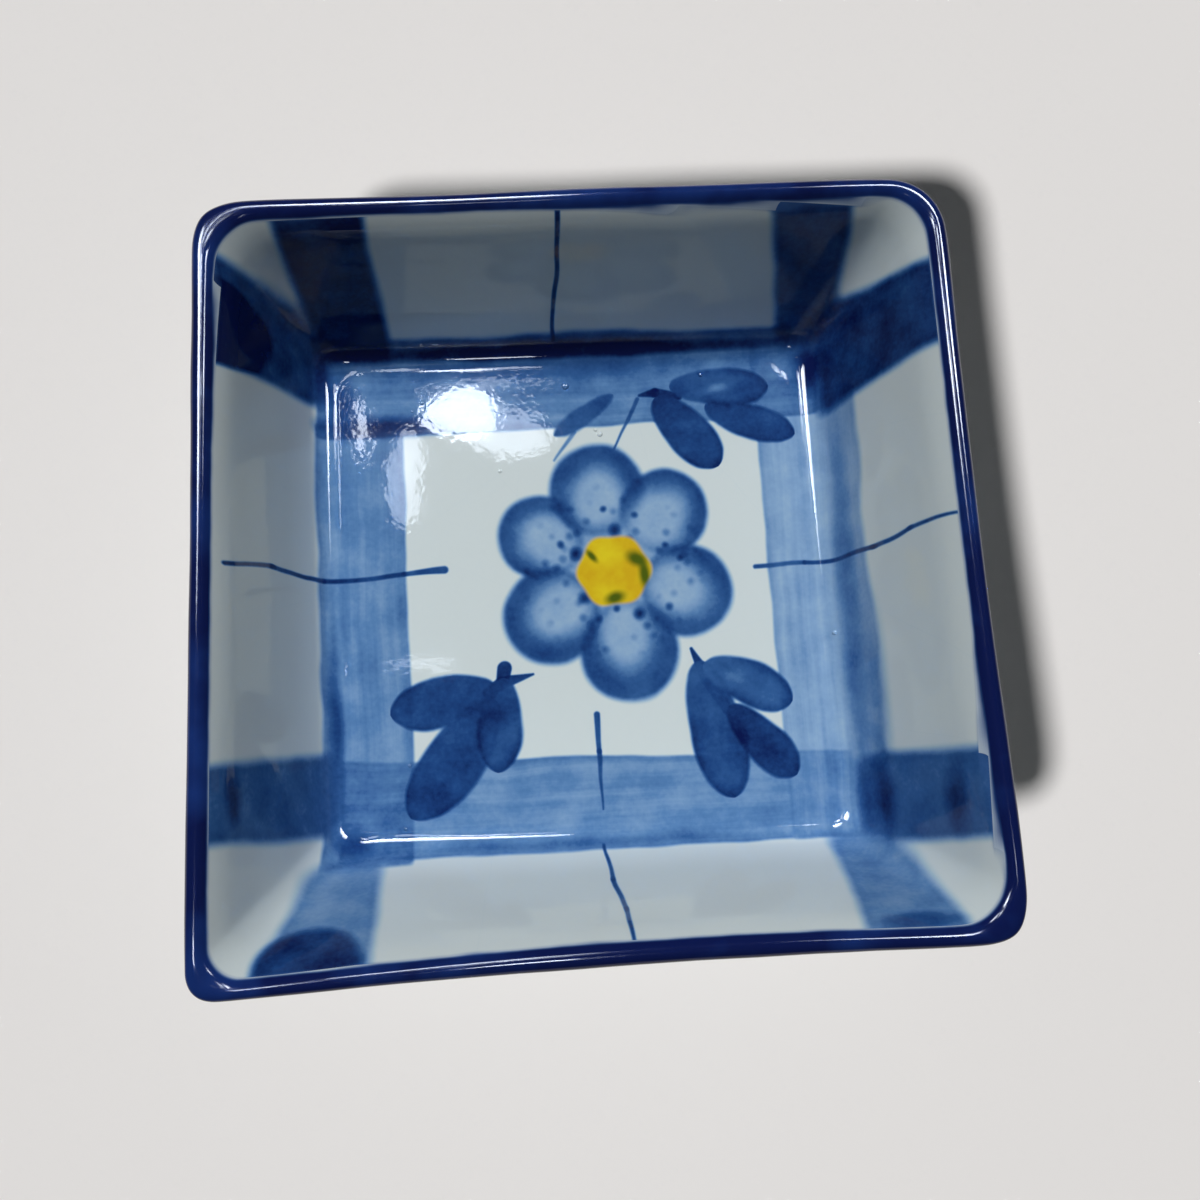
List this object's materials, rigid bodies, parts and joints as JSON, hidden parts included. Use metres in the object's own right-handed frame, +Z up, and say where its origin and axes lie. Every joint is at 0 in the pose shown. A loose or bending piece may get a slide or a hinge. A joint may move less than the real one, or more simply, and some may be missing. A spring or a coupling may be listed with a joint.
{
  "type": "square bowl",
  "caption": "Small square stoneware bowl with sloping walls, a flared cobalt lip, a low square foot ring and a brushed blue blossom on its white floor.",
  "frame": {"origin": "centre of the bounding box, on the plane that the foot ring stands on", "axes": "+Z up out of the bowl's mouth, +X to the right and +Y to the back as the picture shows the bowl"},
  "size_m": [0.1311, 0.1302, 0.0402],
  "materials": {
    "bare_stoneware": "bare fired clay, sponged, matt",
    "white_glaze": "milky white glaze, glossy, with small blisters",
    "cobalt_glaze": "dark cobalt band over the lip, glossy",
    "cobalt_wash": "thin brushed cobalt wash under the gloss, with brush lines",
    "cobalt_stroke": "full cobalt brush strokes under the gloss",
    "petal_wash": "pale cobalt sponged petals with darker rims",
    "cobalt_leaf": "single-stroke cobalt leaves, darker where the brush lifted",
    "yellow_enamel": "yellow enamel with olive edges"
  },
  "bodies": {
    "root": {"stoneware_shell": "bare_stoneware", "foot_ring": "bare_stoneware", "inner_glaze": "white_glaze", "outer_glaze": "white_glaze", "base_glaze": "white_glaze", "rim_glaze": "cobalt_glaze", "floor_bands": "cobalt_wash", "wall_strokes": "cobalt_stroke", "tick_lines": "cobalt_stroke", "petals": "petal_wash", "flower_centre": "yellow_enamel", "leaf_sprays": "cobalt_leaf"}
  },
  "joints": []
}
